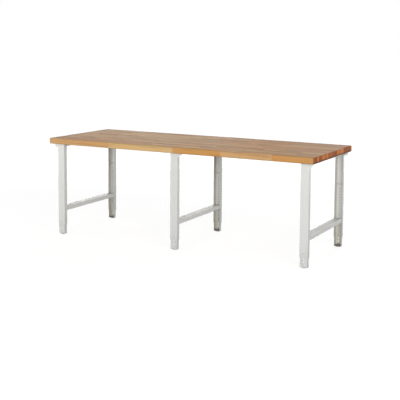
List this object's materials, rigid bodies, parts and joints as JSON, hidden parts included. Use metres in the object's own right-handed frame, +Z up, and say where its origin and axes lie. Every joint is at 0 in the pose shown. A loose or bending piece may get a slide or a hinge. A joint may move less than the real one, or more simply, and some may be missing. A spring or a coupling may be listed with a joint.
{
  "type": "modular workbench",
  "caption": "Workbench with a thick solid beech top on light grey steel leg frames that adjust in height.",
  "frame": {"origin": "on the floor, below the centre of the worktop", "axes": "+X along the bench to the right, +Y from the front to the back, +Z up"},
  "size_m": [2.5, 0.9, 0.87],
  "materials": {
    "beech": "satin",
    "frame_paint": "satin",
    "black_plastic": "matte",
    "zinc_plating": "satin"
  },
  "bodies": {
    "bench": {"worktop": "beech", "upper_leg_left_front": "frame_paint", "upper_leg_left_rear": "frame_paint", "upper_leg_middle_front": "frame_paint", "upper_leg_middle_rear": "frame_paint", "upper_leg_right_front": "frame_paint", "upper_leg_right_rear": "frame_paint", "bracket_left_front": "frame_paint", "bracket_left_rear": "frame_paint", "bracket_middle_front": "frame_paint", "bracket_middle_rear": "frame_paint", "bracket_right_front": "frame_paint", "bracket_right_rear": "frame_paint", "top_rail_left": "frame_paint", "top_rail_middle": "frame_paint", "top_rail_right": "frame_paint", "crossbar_left": "frame_paint", "crossbar_middle": "frame_paint", "crossbar_right": "frame_paint", "worktop_screws": "zinc_plating", "locking_bolts": "zinc_plating", "locking_nuts": "zinc_plating"},
    "extension_left_front": {"lower_leg_left_front": "frame_paint", "end_cap_left_front": "black_plastic"},
    "levelling_left_front": {"foot_left_front": "zinc_plating"},
    "extension_left_rear": {"lower_leg_left_rear": "frame_paint", "end_cap_left_rear": "black_plastic"},
    "levelling_left_rear": {"foot_left_rear": "zinc_plating"},
    "extension_middle_front": {"lower_leg_middle_front": "frame_paint", "end_cap_middle_front": "black_plastic"},
    "levelling_middle_front": {"foot_middle_front": "zinc_plating"},
    "extension_middle_rear": {"lower_leg_middle_rear": "frame_paint", "end_cap_middle_rear": "black_plastic"},
    "levelling_middle_rear": {"foot_middle_rear": "zinc_plating"},
    "extension_right_front": {"lower_leg_right_front": "frame_paint", "end_cap_right_front": "black_plastic"},
    "levelling_right_front": {"foot_right_front": "zinc_plating"},
    "extension_right_rear": {"lower_leg_right_rear": "frame_paint", "end_cap_right_rear": "black_plastic"},
    "levelling_right_rear": {"foot_right_rear": "zinc_plating"}
  },
  "joints": [
    {"name": "leg_height_left_front", "type": "slide", "parent": "bench", "child": "extension_left_front", "axis": [0, 0, -1], "range_m": [-0.05, 0.25]},
    {"name": "leg_height_left_rear", "type": "slide", "parent": "bench", "child": "extension_left_rear", "axis": [0, 0, -1], "range_m": [-0.05, 0.25]},
    {"name": "leg_height_middle_front", "type": "slide", "parent": "bench", "child": "extension_middle_front", "axis": [0, 0, -1], "range_m": [-0.05, 0.25]},
    {"name": "leg_height_middle_rear", "type": "slide", "parent": "bench", "child": "extension_middle_rear", "axis": [0, 0, -1], "range_m": [-0.05, 0.25]},
    {"name": "leg_height_right_front", "type": "slide", "parent": "bench", "child": "extension_right_front", "axis": [0, 0, -1], "range_m": [-0.05, 0.25]},
    {"name": "leg_height_right_rear", "type": "slide", "parent": "bench", "child": "extension_right_rear", "axis": [0, 0, -1], "range_m": [-0.05, 0.25]},
    {"name": "foot_level_left_front", "type": "slide", "parent": "extension_left_front", "child": "levelling_left_front", "axis": [0, 0, -1], "range_m": [0, 0.01]},
    {"name": "foot_level_left_rear", "type": "slide", "parent": "extension_left_rear", "child": "levelling_left_rear", "axis": [0, 0, -1], "range_m": [0, 0.01]},
    {"name": "foot_level_middle_front", "type": "slide", "parent": "extension_middle_front", "child": "levelling_middle_front", "axis": [0, 0, -1], "range_m": [0, 0.01]},
    {"name": "foot_level_middle_rear", "type": "slide", "parent": "extension_middle_rear", "child": "levelling_middle_rear", "axis": [0, 0, -1], "range_m": [0, 0.01]},
    {"name": "foot_level_right_front", "type": "slide", "parent": "extension_right_front", "child": "levelling_right_front", "axis": [0, 0, -1], "range_m": [0, 0.01]},
    {"name": "foot_level_right_rear", "type": "slide", "parent": "extension_right_rear", "child": "levelling_right_rear", "axis": [0, 0, -1], "range_m": [0, 0.01]}
  ]
}
